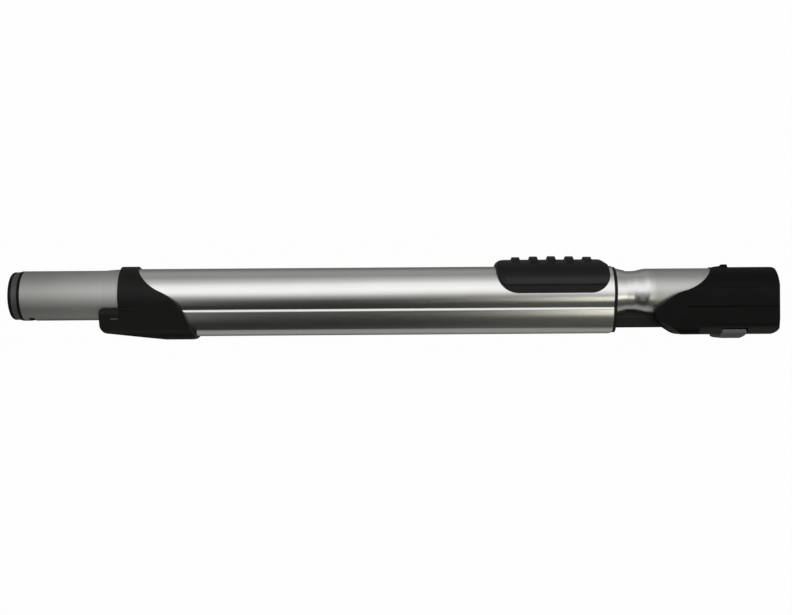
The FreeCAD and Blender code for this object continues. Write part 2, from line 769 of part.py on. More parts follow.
# Rail under the sliding tube with its two bars
rail = piece(new_body("feed_rail"))
rail_half_outline = [
    ("-(tube_radius - 4)", "0"),
    ("-(tube_radius - 4)", "rail_half"),
    ("-(rail_depth - rail_corner)", "rail_half", "rail_corner", 1),
    ("-(rail_depth)", "rail_half - rail_corner"),
]
pad_along(rail, [mirrored(rail_half_outline)], "rail_start", "rail_end - rail_start")
turned(rail, tube_side("fit_gap") + [("tube_end", "0"), (TAIL_START, "0")], "Groove")
BAR_TOP = "(rail_depth - bar_inset - bar_thickness)"
bar_ways = []
for flank, sign in flanks():
    middle = "%s * bar_spacing / 2" % sign
    bar_ways.append(rectangle(
        "-(rail_depth + 1)", middle + " - bar_width / 2 - fit_gap",
        "-(%s - fit_gap)" % BAR_TOP, middle + " + bar_width / 2 + fit_gap",
    ))
cut_along(rail, bar_ways, "rail_start - 1", "rail_end - rail_start + 2")
CONTACT_START = "(socket_end - contact_length - 2)"
STEP_END = "(rail_end + 6)"
for flank, sign in flanks():
    bar = piece(block(
        "bus_bar_" + flank, "rail_start + 2", "-" + BAR_DROP, STEP_END, "-" + BAR_TOP,
        "bar_width", "%s * bar_spacing / 2" % sign,
    ))
    pad_across(
        bar, [rectangle(STEP_END + " - bar_width", "-" + BAR_DROP, STEP_END, "-" + BAR_TOP)],
        "bar_step + bar_width", "%s * (bar_spacing + bar_step) / 2" % sign,
    )
    pad_across(
        bar, [rectangle(STEP_END + " - bar_width", "-" + BAR_DROP, CONTACT_START + " + 6", "-" + BAR_TOP)],
        "bar_width", "%s * (bar_spacing / 2 + bar_step)" % sign,
    )

# Handle socket: two moulded halves round the belled end
socket_section = new_body("socket_section")
pad_along(socket_section, [mirrored([
    ("socket_top", "0", "socket_half", 1),
    (SOCKET_CENTRE, "socket_half", "flank_curve", 1),
    ("-(socket_depth - socket_corner)", "socket_half - flank_lean", "1.05 * socket_corner", 1),
    ("-(socket_depth)", "socket_half - flank_lean - socket_corner"),
])], "wave_low - 4", "socket_end - wave_low + 4")
socket_side = new_body("socket_side")
pad_across(socket_side, [[
    ("wave_low", "-(tube_radius + bell_rise + 0.6)"),
    ("wave_low + 4.5", "-(socket_depth - 9)"),
    ("wave_low + 12", "-(rail_depth + 0.4)"),
    ("wave_low + 16.5", "-(rail_depth + 0.65 * socket_floor)", "10", 1),
    ("wave_low + 22", "-(socket_depth + 0.2)"),
    ("socket_end - heel_length", "-(socket_depth + 0.2)", "heel_curve", 1),
    ("socket_end", "-(socket_depth - heel_round)"),
    ("socket_end", "socket_top - socket_round", "1.1 * socket_round", 1),
    ("socket_end - socket_round", "socket_top + 0.1"),
    ("wave_top", "socket_top + 1", "wave_first", -1),
    ("wave_middle", "0.9", "wave_second", 1),
]], "4 * socket_half")
socket_bulk = combined("Common", "socket_bulk", socket_section, socket_side)
socket_plan = new_body("socket_plan")
lip_sketch = draw(socket_plan, "XZ_Plane", [[
    ("wave_low - 5", "-(lip_half)"),
    ("wave_low", "-(lip_half)", "lip_curve", 1),
    ("wave_top", "-(socket_half + 0.1)"),
    ("socket_end - socket_round", "-(socket_half + 0.1)", "1.1 * socket_round", 1),
    ("socket_end + 0.1", "-(socket_half - socket_round)"),
    ("socket_end + 0.1", "socket_half - socket_round", "1.1 * socket_round", 1),
    ("socket_end - socket_round", "socket_half + 0.1"),
    ("wave_top", "socket_half + 0.1", "lip_curve", 1),
    ("wave_low", "lip_half"),
    ("wave_low - 5", "lip_half"),
]])
extrude(socket_plan, "Pad", lip_sketch, "4 * socket_half", both_ways=True)
socket_form = combined("Common", "socket_form", socket_bulk, socket_plan)
socket_core = new_body("socket_core")
turned(socket_core, [
    (TAIL_START, "0"),
    ("socket_end + 2", "0"),
    ("socket_end + 2", "socket_bore"),
    ("tube_end + slide_gap", "socket_bore"),
    ("tube_end + slide_gap", "tube_radius + bell_rise + fit_gap"),
    (BELL_END, "tube_radius + bell_rise + fit_gap"),
    ("bell_start", "tube_radius + bell_rise + fit_gap"),
    (TAIL_START, "tube_radius + bell_rise + fit_gap"),
])
socket_shell = combined("Cut", "socket_shell", socket_form, socket_core)
lower_zone = new_body("lower_zone")
pad_across(lower_zone, [rectangle(
    "wave_low - 10", "-(socket_depth + 5)", "socket_end + 5", "-(socket_seam)",
)], "4 * socket_half")
nib = new_body("latch_nib")
pad_across(nib, [[
    ("nib_start - nib_ramp", "socket_top - 0.4"),
    ("nib_start + nib_length", "socket_top - 0.4"),
    ("nib_start + nib_length - 1", "socket_top + nib_rise"),
    ("nib_start + 1", "socket_top + nib_rise"),
    ("nib_start", "socket_top + 0.5 * nib_rise"),
    ("nib_start - nib_ramp + 2", "socket_top + 0.2 * nib_rise"),
]], "6")
upper_blank = combined("Cut", "upper_blank", socket_shell, lower_zone)
piece(combined("Fuse", "socket_upper", upper_blank, nib))

lower_blank = combined("Common", "lower_blank", socket_shell, lower_zone)
BUTTON_END = "(button_start + button_length)"
SADDLE_MIDDLE = "(button_start + saddle_sweep)"
CHANNEL_TOP = "-(socket_depth - saddle_top - button_gap)"
saddle_channel = new_body("saddle_channel")
pad_across(saddle_channel, [rectangle(
    "button_start - button_gap", "-(socket_depth + 1)", BUTTON_END + " + button_gap", CHANNEL_TOP,
)], "4 * socket_half")
channel_plan = upright(
    "channel_plan", "saddle_sweep + button_gap", "-(socket_depth + 2)", CHANNEL_TOP + " + 1", "0", SADDLE_MIDDLE,
)
saddle_room = combined("Common", "saddle_room", saddle_channel, channel_plan)
lower_open = combined("Cut", "lower_open", lower_blank, saddle_room)
socket_cuts = new_body("socket_cuts")
pad_along(socket_cuts, [rectangle(
    "-(rail_depth + fit_gap)", "-(rail_half + fit_gap)", "-10", "rail_half + fit_gap",
)], "wave_low - 6", "rail_end + fit_gap - wave_low + 6")
pad_across(socket_cuts, [rectangle(
    "button_start - button_gap", "-(socket_depth + 1)", BUTTON_END + " + button_gap", "-(socket_bore + 4)",
)], "2 * (button_half + button_gap)")
pad_across(socket_cuts, [rectangle(
    TOOTH_START + " - 4.5", "-(socket_depth - 8)", TOOTH_START + " + 5.5", "-10",
)], "2 * 3.8")
for flank, sign in flanks():
    middle = "%s * bar_spacing / 2" % sign
    outer_middle = "%s * (bar_spacing / 2 + bar_step)" % sign
    pad_along(socket_cuts, [rectangle(
        "-(%s + fit_gap)" % BAR_DROP, middle + " - bar_width / 2 - fit_gap",
        "-(%s - fit_gap)" % BAR_TOP, middle + " + bar_width / 2 + fit_gap",
    )], "rail_end - 1", "7 + fit_gap")
    pad_along(socket_cuts, [rectangle(
        "-(%s + fit_gap)" % BAR_DROP, "%s * bar_spacing / 2" % sign,
        "-(%s - fit_gap)" % BAR_TOP, outer_middle,
    )], STEP_END + " - bar_width - fit_gap", "bar_width + 2 * fit_gap")
    pad_along(socket_cuts, [rectangle(
        "-(%s + fit_gap)" % BAR_DROP, outer_middle + " - bar_width / 2 - fit_gap",
        "-(%s - fit_gap)" % BAR_TOP, outer_middle + " + bar_width / 2 + fit_gap",
    )], STEP_END + " - bar_width - fit_gap", CONTACT_START + " - rail_end - 2")
    pad_along(socket_cuts, [(
        "-(%s + %s) / 2" % (BAR_DROP, BAR_TOP), outer_middle, "contact_radius + fit_gap / 2",
    )], CONTACT_START, "contact_length + 5")
pad_across(socket_cuts, [(
    "button_pivot", "-(pivot_drop)", "pivot_radius + fit_gap / 2",
)], "2 * (button_half + 3)")
piece(combined("Cut", "socket_lower", lower_open, socket_cuts))

for flank, sign in flanks():
    contact = piece(new_body("socket_contact_" + flank))
    middle = "%s * (bar_spacing / 2 + bar_step)" % sign
    height = "-(%s + %s) / 2" % (BAR_DROP, BAR_TOP)
    pad_along(contact, [(height, middle, "contact_radius"), (height, middle, "contact_radius - 0.7")],
              CONTACT_START, "contact_length")

# Release button: a rocker with a tooth, on a pivot pin, held out by a spring
BUTTON_FACE = "-(socket_depth + button_rise)"
SADDLE_TOP = "-(socket_depth - saddle_top)"
saddle_section = new_body("saddle_section")
pad_along(saddle_section, [mirrored([
    (SADDLE_TOP, "0"),
    (SADDLE_TOP, "saddle_half"),
    (SADDLE_TOP + " - 0.6 * saddle_side", "saddle_half - 0.2", "saddle_round", 1),
    (BUTTON_FACE, "saddle_foot"),
])], "button_start", "button_length")
saddle_side = new_body("saddle_side")
pad_across(saddle_side, [[
    ("button_start + 4", "-(socket_depth - saddle_top - 1)"),
    ("button_start", "-(socket_depth - 0.8)", "4", 1),
    ("button_start + 2", "-(socket_depth + 1.7)", "4.5", 1),
    ("button_start + 5", BUTTON_FACE),
    ("button_start + 17.5", BUTTON_FACE, "14", 1),
    (BUTTON_END + " - 1.4", "-(socket_depth + 1.2)", "3.6", 1),
    (BUTTON_END, "-(socket_depth - 1.6)"),
    (BUTTON_END + " - 1", "-(socket_depth - saddle_top - 1)"),
]], "4 * saddle_half")
saddle_plan = upright(
    "saddle_plan", "saddle_sweep", BUTTON_FACE + " - 1", SADDLE_TOP + " + 1", "0", SADDLE_MIDDLE,
)
saddle_bar = combined("Common", "saddle_bar", saddle_section, saddle_side)
saddle = combined("Common", "saddle", saddle_bar, saddle_plan)
rocker = new_body("rocker")
pad_across(rocker, [[
    ("button_start + 1", SADDLE_TOP + " - 1"),
    (BUTTON_END + " - 1", SADDLE_TOP + " - 1"),
    (BUTTON_END + " - 1", "-(socket_depth - 6)"),
    ("button_pivot + pivot_radius + 1.4", "-(socket_depth - 6)"),
    ("button_pivot + pivot_radius + 0.6", "-(pivot_drop - pivot_radius - 1)"),
    ("button_pivot - pivot_radius - 1", "-(pivot_drop - pivot_radius - 1)"),
    ("button_pivot - pivot_radius - 3", "-(socket_depth - 6)"),
    ("button_start + 1", "-(socket_depth - 6)"),
]], "2 * button_half")
pad_across(rocker, [rectangle(
    TOOTH_START, "-(socket_depth - 5)", TOOTH_START + " + 4", "-(tube_radius + bell_rise - 2.4)",
)], "6")
pivot_way = new_body("pivot_way")
pad_across(pivot_way, [("button_pivot", "-(pivot_drop)", "pivot_radius + 0.05")], "4 * button_half")
button_blank = combined("Fuse", "button_blank", saddle, rocker)
piece(combined("Cut", "release_button", button_blank, pivot_way))
pivot = piece(new_body("button_pivot_pin"))
pad_across(pivot, [("button_pivot", "-(pivot_drop)", "pivot_radius")], "2 * (button_half + 2.9)")

# Lock: skirt and ribbed cover on the casing's back, a carriage in the window and a shoe
skirt_band = new_body("skirt_band")
pad_along(skirt_band, [("0", "0", SKIRT_OUTER), ("0", "0", SKIRT_INNER)], "grip_start", "grip_length")
skirt_side = new_body("skirt_side")
pad_across(skirt_side, [[
    ("grip_start + 1", "14", "16", 1),
    ("grip_start + 16.3", "-(skirt_drop)"),
    (GRIP_END + " - 13.5", "-(skirt_drop)", "15", 1),
    (GRIP_END, "13"),
    (GRIP_END, "case_radius + 0.2"),
    (GRIP_END + " - 2", SKIRT_OUTER + " + 0.5"),
    ("grip_start + 2", SKIRT_OUTER + " + 0.5"),
    ("grip_start", "case_radius + 0.2"),
]], "4 * case_radius")
skirt_form = combined("Common", "skirt_form", skirt_band, skirt_side)
skirt_window = new_body("skirt_window")
pad_across(skirt_window, [rectangle(
    "grip_start + 7", "case_radius - 9", GRIP_END + " - 9", "cover_top",
)], "2 * cavity_half")
piece(combined("Cut", "grip_skirt", skirt_form, skirt_window))


def vaulted(half, foot, inset):
    """Section of a block whose top follows the cover's round, moved inwards by an inset."""
    radius = "(cover_radius - %s)" % inset
    return mirrored([
        ("cover_top - %s" % inset, "0", radius, 1),
        ("%s + sqrt(%s ^ 2 - (%s) ^ 2)" % (COVER_CENTRE, radius, half), half),
        (foot, half),
    ])


cover = new_body("cover_blank")
pad_along(cover, [(COVER_CENTRE, "0", "cover_radius")], "grip_start", "grip_length")
RIB_CENTRE = "(cover_top + rib_rise - rib_radius)"
rib_sketch = cover.newObject("Sketcher::SketchObject", "rib_sketch")
rib_sketch.AttachmentSupport = [(origin_part(cover, "XY_Plane"), "")]
rib_sketch.MapMode = "FlatFace"
bind(rib_sketch, AttachmentOffset__Base__y=RIB_CENTRE)
for number in range(int(SIZES["rib_count"])):
    middle = "(rib_first + %d * rib_pitch)" % number
    crest = "(rib_radius - rib_arch * (%d - (rib_count - 1) / 2) ^ 2)" % number
    draw_loop(rib_sketch, [
        (middle + " - rib_width / 2", "0.5"),
        (middle + " + rib_width / 2", "0.5"),
        (middle + " + rib_width / 2", "rib_radius - rib_rise - 0.6"),
        (middle + " + rib_width / 2 - rib_slope", crest),
        (middle + " - rib_width / 2 + rib_slope", crest),
        (middle + " - rib_width / 2", "rib_radius - rib_rise - 0.6"),
    ])
ribs = cover.newObject("PartDesign::Revolution", "ribs")
ribs.Profile = rib_sketch
ribs.ReferenceAxis = (rib_sketch, ["H_Axis"])
ribs.Angle = 360
cut_along(cover, [("0", "0", SKIRT_OUTER + " + fit_gap / 2")], "grip_start - 1", "grip_length + 2")
cover_side = new_body("cover_side")
pad_across(cover_side, [[
    ("grip_start + 0.3", SKIRT_OUTER + " - 1.4"),
    ("grip_start + 1.3", "14", "16", 1),
    ("grip_start + 5.1", "ledge_height"),
    (GRIP_END + " - 3.5", "ledge_height", "15", 1),
    (GRIP_END + " - 0.3", "13"),
    (GRIP_END + " - 1.2", SKIRT_OUTER + " - 1"),
    (GRIP_END + " - 6.2", "cover_top - 0.3", "400", 1),
    ("grip_start + 5", "cover_top - 0.3", "4.6", 1),
]], "4 * case_radius")
cover_zone = new_body("cover_zone")
pad_across(cover_zone, [rectangle("grip_start + 10", "cover_top - 2", GRIP_END + " - 10", "cover_top + 6")], "30")
cover_limits = combined("Fuse", "cover_limits", cover_side, cover_zone)
cover_form = combined("Common", "cover_form", cover, cover_limits)
cover_hollow = new_body("cover_hollow")
pad_along(
    cover_hollow, [vaulted("cavity_half", "case_radius - 9", "roof_thickness")],
    "grip_start + 7", "grip_length - 16",
)
piece(combined("Cut", "grip_cover", cover_form, cover_hollow))

carriage = piece(new_body("lock_carriage"))
CARRIAGE_END = "(carriage_start + carriage_length)"
CHEEK = "(shoe_half + slide_gap + cheek_thickness)"
pad_along(
    carriage, [vaulted(CHEEK, "tube_radius", "(roof_thickness + fit_gap / 2)")],
    "carriage_start", "carriage_length",
)
cut_along(carriage, [("0", "0", GUIDE_OUTER + " + slide_gap")], "carriage_start - 1", "carriage_length + 2")
cut_across(carriage, [rectangle(
    "carriage_start + 2.5", "tube_radius", CARRIAGE_END + " - 2.5", ROOF + " - 1.6",
)], "2 * (shoe_half + slide_gap)")
EAR_ALONG = "(shoe_start + 5)"
EAR_ROOM = "(ear_radius + slide_gap)"
EAR_ROUND = "(1.1 * (ear_radius + slide_gap))"
cut_across(carriage, [[
    (EAR_ALONG + " - 2 * slide_gap", "ear_height - " + EAR_ROOM),
    (EAR_ALONG + " + grip_travel + 2 * slide_gap", "ear_height + shoe_lift - " + EAR_ROOM, EAR_ROUND, 1),
    (EAR_ALONG + " + grip_travel + 2 * slide_gap", "ear_height + shoe_lift + " + EAR_ROOM),
    (EAR_ALONG + " - 2 * slide_gap", "ear_height + " + EAR_ROOM, EAR_ROUND, 1),
]], "4 * shoe_half")

shoe = piece(new_body("lock_shoe"))
pad_across(shoe, [rectangle("shoe_start", "tube_radius - 4", SHOE_END, "ear_height + 0.9")], "2 * shoe_half")
pad_across(shoe, [(EAR_ALONG, "ear_height", "ear_radius")], "2 * (%s - slide_gap)" % CHEEK)
cut_along(shoe, [("0", "0", GUIDE_BORE)], "shoe_start - 1", "shoe_length + 2")

doc.recompute()
SPRING_HEIGHT = "(ear_height + 0.4)"
SPRING_ROOM = "(carriage_start - guide_start - 2.4)"
for flank, sign in flanks():
    foot = FreeCAD.Vector(value("guide_start + 2.4 + 0.4"), value(SPRING_HEIGHT), value("%s * 4.5" % sign))
    coil("lock_spring_" + flank, foot, FreeCAD.Vector(1, 0, 0), value(SPRING_ROOM) - 0.8, 9)
button_foot = FreeCAD.Vector(value("button_pivot + 4.2"), value("-(socket_depth - 6)") + 0.4, 0)
button_room = value("socket_depth - 6 - socket_bore - 4")
coil("button_spring", button_foot, FreeCAD.Vector(0, 1, 0), button_room - 0.8, 5)

doc.recompute()
for item in doc.Objects:
    bad = [state for state in item.State if state in ("Invalid", "Error")]
    if bad:
        raise RuntimeError("%s did not build: %s" % (item.Label, item.State))
for item in pieces:
    if item.Shape.isNull() or not item.Shape.isValid() or len(item.Shape.Solids) != 1:
        raise RuntimeError("%s is not one sound solid (%d)" % (item.Label, len(item.Shape.Solids)))

os.makedirs("parts", exist_ok=True)
for item in pieces:
    item.Shape.exportStep("parts/%s.step" % item.Label)
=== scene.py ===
import bpy
import bmesh
import math
from mathutils import Matrix, Vector


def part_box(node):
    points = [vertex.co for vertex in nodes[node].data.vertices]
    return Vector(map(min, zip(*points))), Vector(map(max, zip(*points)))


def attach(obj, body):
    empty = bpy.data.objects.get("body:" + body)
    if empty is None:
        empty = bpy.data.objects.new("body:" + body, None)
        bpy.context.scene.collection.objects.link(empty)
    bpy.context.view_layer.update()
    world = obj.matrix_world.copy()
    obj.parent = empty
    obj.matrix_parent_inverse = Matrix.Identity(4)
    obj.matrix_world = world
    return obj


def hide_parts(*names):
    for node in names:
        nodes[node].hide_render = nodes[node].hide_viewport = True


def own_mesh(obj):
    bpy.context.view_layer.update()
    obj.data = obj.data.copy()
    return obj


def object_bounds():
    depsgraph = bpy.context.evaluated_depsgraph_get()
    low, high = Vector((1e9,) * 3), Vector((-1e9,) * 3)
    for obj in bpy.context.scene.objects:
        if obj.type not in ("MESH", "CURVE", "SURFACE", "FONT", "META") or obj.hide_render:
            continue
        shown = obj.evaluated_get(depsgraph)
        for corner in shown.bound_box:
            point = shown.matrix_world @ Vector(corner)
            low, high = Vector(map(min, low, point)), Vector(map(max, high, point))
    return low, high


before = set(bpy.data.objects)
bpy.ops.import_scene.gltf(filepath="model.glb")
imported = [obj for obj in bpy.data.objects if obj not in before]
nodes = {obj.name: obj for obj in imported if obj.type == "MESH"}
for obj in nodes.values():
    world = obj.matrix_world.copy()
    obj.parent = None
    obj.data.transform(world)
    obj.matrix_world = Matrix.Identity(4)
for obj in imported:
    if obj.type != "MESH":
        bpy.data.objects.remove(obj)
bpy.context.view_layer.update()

# Nozzle spigot. A drawn steel tube with a satin finish that a floor head's neck
# slides over; a grey ferrule, a black bumper and a black seal close its rim.
MM = 0.001


class Wire:
    """A shader socket that takes part in plain arithmetic."""

    def __init__(self, recipe, socket):
        self.recipe = recipe
        self.socket = socket

    def joined(self, operation, first, second):
        """Add the Math node of an operation on two values."""
        return self.recipe.node("ShaderNodeMath", {"operation": operation}, {0: first, 1: second})

    def __add__(self, other):
        return self.joined("ADD", self, other)

    __radd__ = __add__

    def __sub__(self, other):
        return self.joined("SUBTRACT", self, other)

    def __rsub__(self, other):
        return self.joined("SUBTRACT", other, self)

    def __mul__(self, other):
        return self.joined("MULTIPLY", self, other)

    __rmul__ = __mul__

    def __truediv__(self, other):
        return self.joined("DIVIDE", self, other)

    def __gt__(self, other):
        return self.joined("GREATER_THAN", self, other)

    def clipped(self):
        """Hold the value between none and one."""
        return self.joined("MINIMUM", self.joined("MAXIMUM", self, 0.0), 1.0)


class Recipe:
    """The shader nodes of one finish."""

    def __init__(self, name, surround=None):
        self.material = surround or bpy.data.materials.new(name)
        self.material.use_nodes = True
        self.tree = self.material.node_tree
        self.shader = self.tree.nodes["Background" if surround else "Principled BSDF"]

    def node(self, kind, settings=None, sockets=None, output=0):
        """Add a node with its settings and the values or links of its sockets."""
        node = self.tree.nodes.new(kind)
        for name, setting in (settings or {}).items():
            if name == "stops":
                for stop in range(len(setting) - 2):
                    node.color_ramp.elements.new(0.5)
                for element, (place, colour) in zip(node.color_ramp.elements, setting):
                    element.position = place
                    element.color = (*colour, 1)
            else:
                setattr(node, name, setting)
        for key, source in (sockets or {}).items():
            if isinstance(source, Wire):
                self.tree.links.new(source.socket, node.inputs[key])
            else:
                node.inputs[key].default_value = source
        return Wire(self, node.outputs[output])

    def set(self, **sockets):
        """Give the shader's own sockets their values or links."""
        for name, source in sockets.items():
            socket = self.shader.inputs[name.replace("_", " ")]
            if isinstance(source, Wire):
                self.tree.links.new(source.socket, socket)
            else:
                socket.default_value = source

    def grain(self, scale, stretch=(1, 1, 1), detail=2.0):
        """Noise over the piece, in lumps per metre, drawn out where stretch is small."""
        place = self.node("ShaderNodeTexCoord", output="Object")
        place = self.node("ShaderNodeMapping", {}, {"Vector": place, "Scale": stretch})
        sockets = {"Vector": place, "Scale": scale, "Detail": detail}
        return self.node("ShaderNodeTexNoise", {}, sockets, "Fac")

    def part(self, axis):
        """Where a point lies along an axis of the piece."""
        place = self.node("ShaderNodeTexCoord", output="Object")
        return self.node("ShaderNodeSeparateXYZ", {}, {0: place}, axis)

    def tone(self, mask, dark, light):
        """Blend two colours by a mask."""
        settings = {"data_type": "RGBA", "clamp_factor": False}
        return self.node("ShaderNodeMix", settings, {0: mask, 6: (*dark, 1), 7: (*light, 1)}, 2)

    def eased(self, radius):
        """Surface direction with the edges rounded over."""
        return self.node("ShaderNodeBevel", {"samples": 6}, {"Radius": radius})

    def edge(self, eased):
        """Mask that is one on rounded edges and none on open faces."""
        flat = self.node("ShaderNodeNewGeometry", output="Normal")
        settings = {"operation": "DOT_PRODUCT"}
        turn = self.node("ShaderNodeVectorMath", settings, {0: eased, 1: flat}, "Value")
        return ((1 - turn) * 6.0).clipped()

    def bump(self, height, depth, eased):
        """Surface direction over a height map, on top of rounded edges."""
        sockets = {"Height": height, "Distance": depth, "Strength": 1.0, "Normal": eased}
        return self.node("ShaderNodeBump", {}, sockets)


def dress(finish, *names):
    """Give CAD nodes a finish."""
    for name in names:
        mesh = nodes[name].data
        mesh.materials.clear()
        mesh.materials.append(finish.material)


CLEAN_START = 12 * MM
CLEAN_LENGTH = 58 * MM
UNDER_EDGE = -17.7 * MM
UNDER_FADE = 0.9 * MM
spigot_satin = Recipe("spigot_satin")
fine = spigot_satin.grain(2600, detail=1.0)
cloud = spigot_satin.grain(45)
clean = ((spigot_satin.part("X") - CLEAN_START) / CLEAN_LENGTH).clipped()
# Below UNDER_EDGE the tube's underside is painted darker, a painted shade.
under_shade = ((UNDER_EDGE - spigot_satin.part("Y")) / UNDER_FADE).clipped()
shade = 0.3 * cloud + 0.7 * clean - 1.5 * under_shade
spigot_satin.set(
    Base_Color=spigot_satin.tone(shade, (0.38, 0.38, 0.37), (0.54, 0.54, 0.53)),
    Metallic=1.0,
    Roughness=0.52 + 0.10 * fine,
    Normal=spigot_satin.bump(fine, 0.012 * MM, spigot_satin.eased(0.25 * MM)),
)
dress(spigot_satin, "spigot_tube")

ferrule_grey = Recipe("ferrule_grey")
fine = ferrule_grey.grain(2000)
rounded = ferrule_grey.eased(0.3 * MM)
ferrule_grey.set(
    Base_Color=ferrule_grey.tone(fine, (0.050, 0.050, 0.052), (0.066, 0.066, 0.068)),
    Roughness=0.42 + 0.12 * fine,
    Normal=ferrule_grey.bump(fine, 0.02 * MM, rounded),
)
dress(ferrule_grey, "spigot_ferrule")

seal_rubber = Recipe("seal_rubber")
fine = seal_rubber.grain(1800)
seal_rubber.set(
    Base_Color=seal_rubber.tone(fine, (0.0035, 0.0035, 0.0035), (0.008, 0.008, 0.008)),
    Specular_IOR_Level=0.12,
    Roughness=0.55 + 0.2 * fine,
    Normal=seal_rubber.bump(fine, 0.03 * MM, seal_rubber.eased(0.4 * MM)),
)
dress(seal_rubber, "spigot_bumper", "spigot_seal", "mouth_seal", "tail_seal")

# Catch pad. A black rubber block, bent to the spigot's curve, that closes the bottom of
# the latch slot so that no air leaks in beside the floor head's catch.
PAD_START = 13.55 * MM
PAD_LENGTH = 3.9 * MM
PAD_INNER = 17.0 * MM
PAD_OUTER = 18.75 * MM
PAD_TURN = math.radians(56)
PAD_STEPS = 20
PAD_ROUND = 0.3 * MM
CORNER_ANGLE = 1.0


def finished(name, shape, finish):
    """Turn a bmesh into an object that wears a finish."""
    mesh = bpy.data.meshes.new(name)
    shape.to_mesh(mesh)
    shape.free()
    mesh.materials.append(finish.material)
    made = bpy.data.objects.new(name, mesh)
    bpy.context.scene.collection.objects.link(made)
    return made


block = bmesh.new()
bmesh.ops.create_grid(block, x_segments=1, y_segments=1, size=0.5)
bmesh.ops.scale(block, verts=block.verts, vec=(PAD_LENGTH, PAD_OUTER - PAD_INNER, 1))
middle = (PAD_START + PAD_LENGTH / 2, -(PAD_INNER + PAD_OUTER) / 2, 0)
bmesh.ops.translate(block, verts=block.verts, vec=middle)
bmesh.ops.delete(block, geom=block.faces[:], context="FACES_ONLY")
half_turn = Matrix.Rotation(-PAD_TURN / 2, 3, "X")
bmesh.ops.rotate(block, verts=block.verts, cent=(0, 0, 0), matrix=half_turn)
rim = block.verts[:] + block.edges[:]
bmesh.ops.spin(block, geom=rim, cent=(0, 0, 0), axis=(1, 0, 0), angle=PAD_TURN, steps=PAD_STEPS)
rims = [edge for edge in block.edges if edge.is_boundary]
bmesh.ops.holes_fill(block, edges=rims, sides=4)
bmesh.ops.recalc_face_normals(block, faces=block.faces)
corners = [edge for edge in block.edges if edge.calc_face_angle() > CORNER_ANGLE]
bmesh.ops.bevel(
    block, geom=corners, offset=PAD_ROUND, affect="EDGES", segments=3, profile=0.5, material=-1,
)
for face in block.faces:
    face.smooth = True
catch_pad = finished("catch_pad", block, seal_rubber)
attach(catch_pad, "lower")

# Collar and plug housing. Two black mouldings, parted along a seam, that close the
# casing's nozzle end; the housing shrouds two plug pins and is screwed on from below.


def moulded(name, dark, light, gloss, rough, radius, lines=()):
    """A black moulding with a spark-eroded grain and paler edges, partly rubbing wear and partly a
    painted highlight on their rounding.

    Each line along the wand has its start, end, height, half width, rise and paleness.
    """
    finish = Recipe(name)
    spark = finish.grain(2400, detail=3.0)
    cloud = finish.grain(60)
    rounded = finish.eased(radius)
    # Rounded edges are painted paler, partly as wear and partly as a painted highlight.
    wear_and_highlight = finish.edge(rounded)
    relief = 0.03 * spark
    shade = 0.45 * cloud + 0.55 * wear_and_highlight
    for start, end, height, half, rise, pale in lines:
        off_line = (finish.part("Y") - height) / half
        past_start = ((finish.part("X") - start) / MM).clipped()
        before_end = ((end - finish.part("X")) / MM).clipped()
        in_line = (1 - off_line * off_line).clipped() * past_start * before_end
        relief = relief + rise / MM * in_line
        shade = shade + pale * in_line
    finish.set(
        Base_Color=finish.tone(shade.joined("MAXIMUM", shade, 0.0), dark, light),
        Specular_IOR_Level=gloss,
        Sheen_Weight=0.02,
        Sheen_Roughness=0.35,
        Roughness=rough + 0.14 * spark,
        Normal=finish.bump(relief, MM, rounded),
    )
    return finish


COLLAR_SHADES = (0.0070, 0.0070, 0.0067), (0.018, 0.018, 0.0175)
COLLAR_SHINE = 0.15, 0.36
COLLAR_SEAM = (79 * MM, 97 * MM, -9.6 * MM, 0.6 * MM, -0.25 * MM, -1.0)
NOSE_GLINT = (77 * MM, 83.8 * MM, -18 * MM, 0.45 * MM, 0, 11.0)
HOUSING_LINES = (COLLAR_SEAM, NOSE_GLINT)
collar_black = moulded("collar_black", *COLLAR_SHADES, *COLLAR_SHINE, 0.6 * MM)
collar_soft = moulded("collar_soft", *COLLAR_SHADES, *COLLAR_SHINE, 1.8 * MM, (COLLAR_SEAM,))
housing_black = moulded("housing_black", *COLLAR_SHADES, *COLLAR_SHINE, 0.6 * MM, HOUSING_LINES)
dress(collar_black, "plug_insert", "mouth_guide", "wiper_block")
dress(collar_soft, "nozzle_collar")
dress(housing_black, "plug_housing")

# Contacts. Drawn brass pins in the plug, sprung wipers in the casing, bars along the spine
# and sleeves in the socket; they pass the current on as the tube slides.
contact_brass = Recipe("contact_brass")
fine = contact_brass.grain(900, (0.1, 1, 1))
contact_brass.set(
    Base_Color=contact_brass.tone(fine, (0.62, 0.45, 0.20), (0.76, 0.60, 0.30)),
    Metallic=1.0,
    Roughness=0.22 + 0.15 * fine,
    Normal=contact_brass.eased(0.3 * MM),
)
dress(contact_brass, "plug_pin_near", "plug_pin_far", "wiper_near", "wiper_far")
dress(contact_brass, "bus_bar_near", "bus_bar_far", "socket_contact_near", "socket_contact_far")

# Housing screws. Zinc-plated pan heads with a cross recess, driven from below; each is
# turned from bar, its head rounded over and the recess pressed in with sloping walls.
HEAD_ROUND = 0.5 * MM
HEAD_HEIGHT = 1.15 * MM
SHANK_SHARE = 0.5
TIP_LENGTH = 0.8 * MM
RECESS_ARM = 1.55 * MM
RECESS_HALF = 0.36 * MM
RECESS_DEPTH = 0.8 * MM
RECESS_TAPER = 0.62
RECESS_SHADE = 0.3 * MM
SHADE_REACH = 1.1 * RECESS_ARM
HEAD_SIDES = 48
screw_zinc = Recipe("screw_zinc")
low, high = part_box("housing_screw_near")
fine = screw_zinc.grain(1500)
aside = screw_zinc.part("Z")
off_along = screw_zinc.part("X") - (low.x + high.x) / 2
off_aside = aside.joined("ABSOLUTE", aside, 0) - abs(low.z + high.z) / 2
